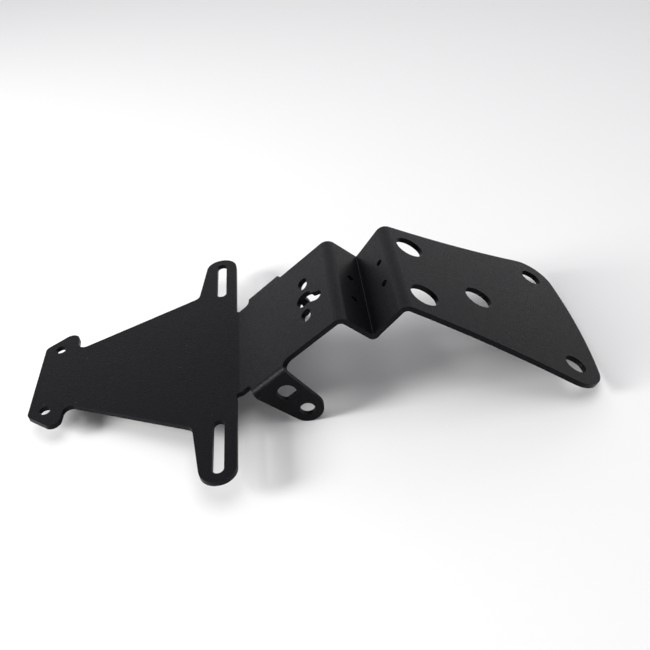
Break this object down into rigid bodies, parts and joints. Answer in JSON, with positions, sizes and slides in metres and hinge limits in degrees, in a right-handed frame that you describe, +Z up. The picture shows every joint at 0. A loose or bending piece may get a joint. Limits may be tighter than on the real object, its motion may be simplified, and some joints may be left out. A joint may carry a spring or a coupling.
{
  "type": "motorbike tail tidy bracket",
  "caption": "Folded sheet steel tail tidy that carries a number plate, its light and a pair of indicators under a motorbike's tail.",
  "frame": {"origin": "middle of the bounding box's base, on the surface that the part stands on with its two side tabs and the mount plate's end", "axes": "+X along the strip from the number plate panel to the mount plate, which points forwards on the bike, +Y to the bike's left across the strip, +Z up"},
  "size_m": [0.3204, 0.1924, 0.065],
  "materials": {
    "powder_coated_steel": "satin black powder coat"
  },
  "bodies": {
    "root": {"folded_plate": "powder_coated_steel"}
  },
  "joints": []
}
